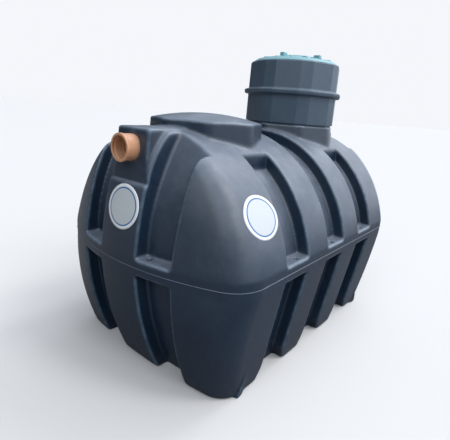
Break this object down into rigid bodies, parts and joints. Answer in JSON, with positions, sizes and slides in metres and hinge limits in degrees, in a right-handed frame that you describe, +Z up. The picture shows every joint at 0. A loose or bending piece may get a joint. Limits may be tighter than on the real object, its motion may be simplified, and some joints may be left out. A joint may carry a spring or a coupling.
{
  "type": "septic tank",
  "caption": "Horizontal moulded plastic septic tank with channelled walls, a pipe socket at each end, a blank turret and an octagonal access riser with a domed lid",
  "frame": {"origin": "middle of the base, on the ground", "axes": "+X along the tank from the inlet end to the outlet end, +Y across it, +Z up"},
  "size_m": [2.1, 1.368, 1.762],
  "materials": {
    "tank_plastic": "dark navy moulded polyethylene, satin",
    "riser_plastic": "dark blue-grey moulded polyethylene, satin",
    "lid_plastic": "teal moulded polyethylene",
    "pipe_plastic": "orange-brown sewer pipe plastic"
  },
  "bodies": {
    "root": {"lower_channel_1": "tank_plastic", "lower_bay_1": "tank_plastic", "lower_channel_2": "tank_plastic", "lower_bay_2": "tank_plastic", "lower_channel_3": "tank_plastic", "lower_inlet_panel": "tank_plastic", "lower_inlet_corner_left": "tank_plastic", "lower_inlet_corner_right": "tank_plastic", "lower_outlet_panel": "tank_plastic", "lower_outlet_corner_left": "tank_plastic", "lower_outlet_corner_right": "tank_plastic", "upper_channel_1": "tank_plastic", "upper_bay_1": "tank_plastic", "upper_channel_2": "tank_plastic", "upper_bay_2": "tank_plastic", "upper_channel_3": "tank_plastic", "upper_inlet_panel": "tank_plastic", "upper_inlet_corner_left": "tank_plastic", "upper_inlet_corner_right": "tank_plastic", "upper_outlet_panel": "tank_plastic", "upper_outlet_corner_left": "tank_plastic", "upper_outlet_corner_right": "tank_plastic", "inspection_boss": "tank_plastic", "access_neck": "tank_plastic", "inlet_box": "tank_plastic", "outlet_box": "tank_plastic", "foot_inlet_left": "tank_plastic", "foot_inlet_right": "tank_plastic", "foot_outlet_left": "tank_plastic", "foot_outlet_right": "tank_plastic", "riser_lower": "riser_plastic", "riser_flange": "riser_plastic", "riser_upper": "riser_plastic", "riser_lid": "lid_plastic", "lid_hub": "lid_plastic", "lid_lugs": "lid_plastic", "inlet_socket": "pipe_plastic", "outlet_socket": "pipe_plastic"}
  },
  "joints": []
}
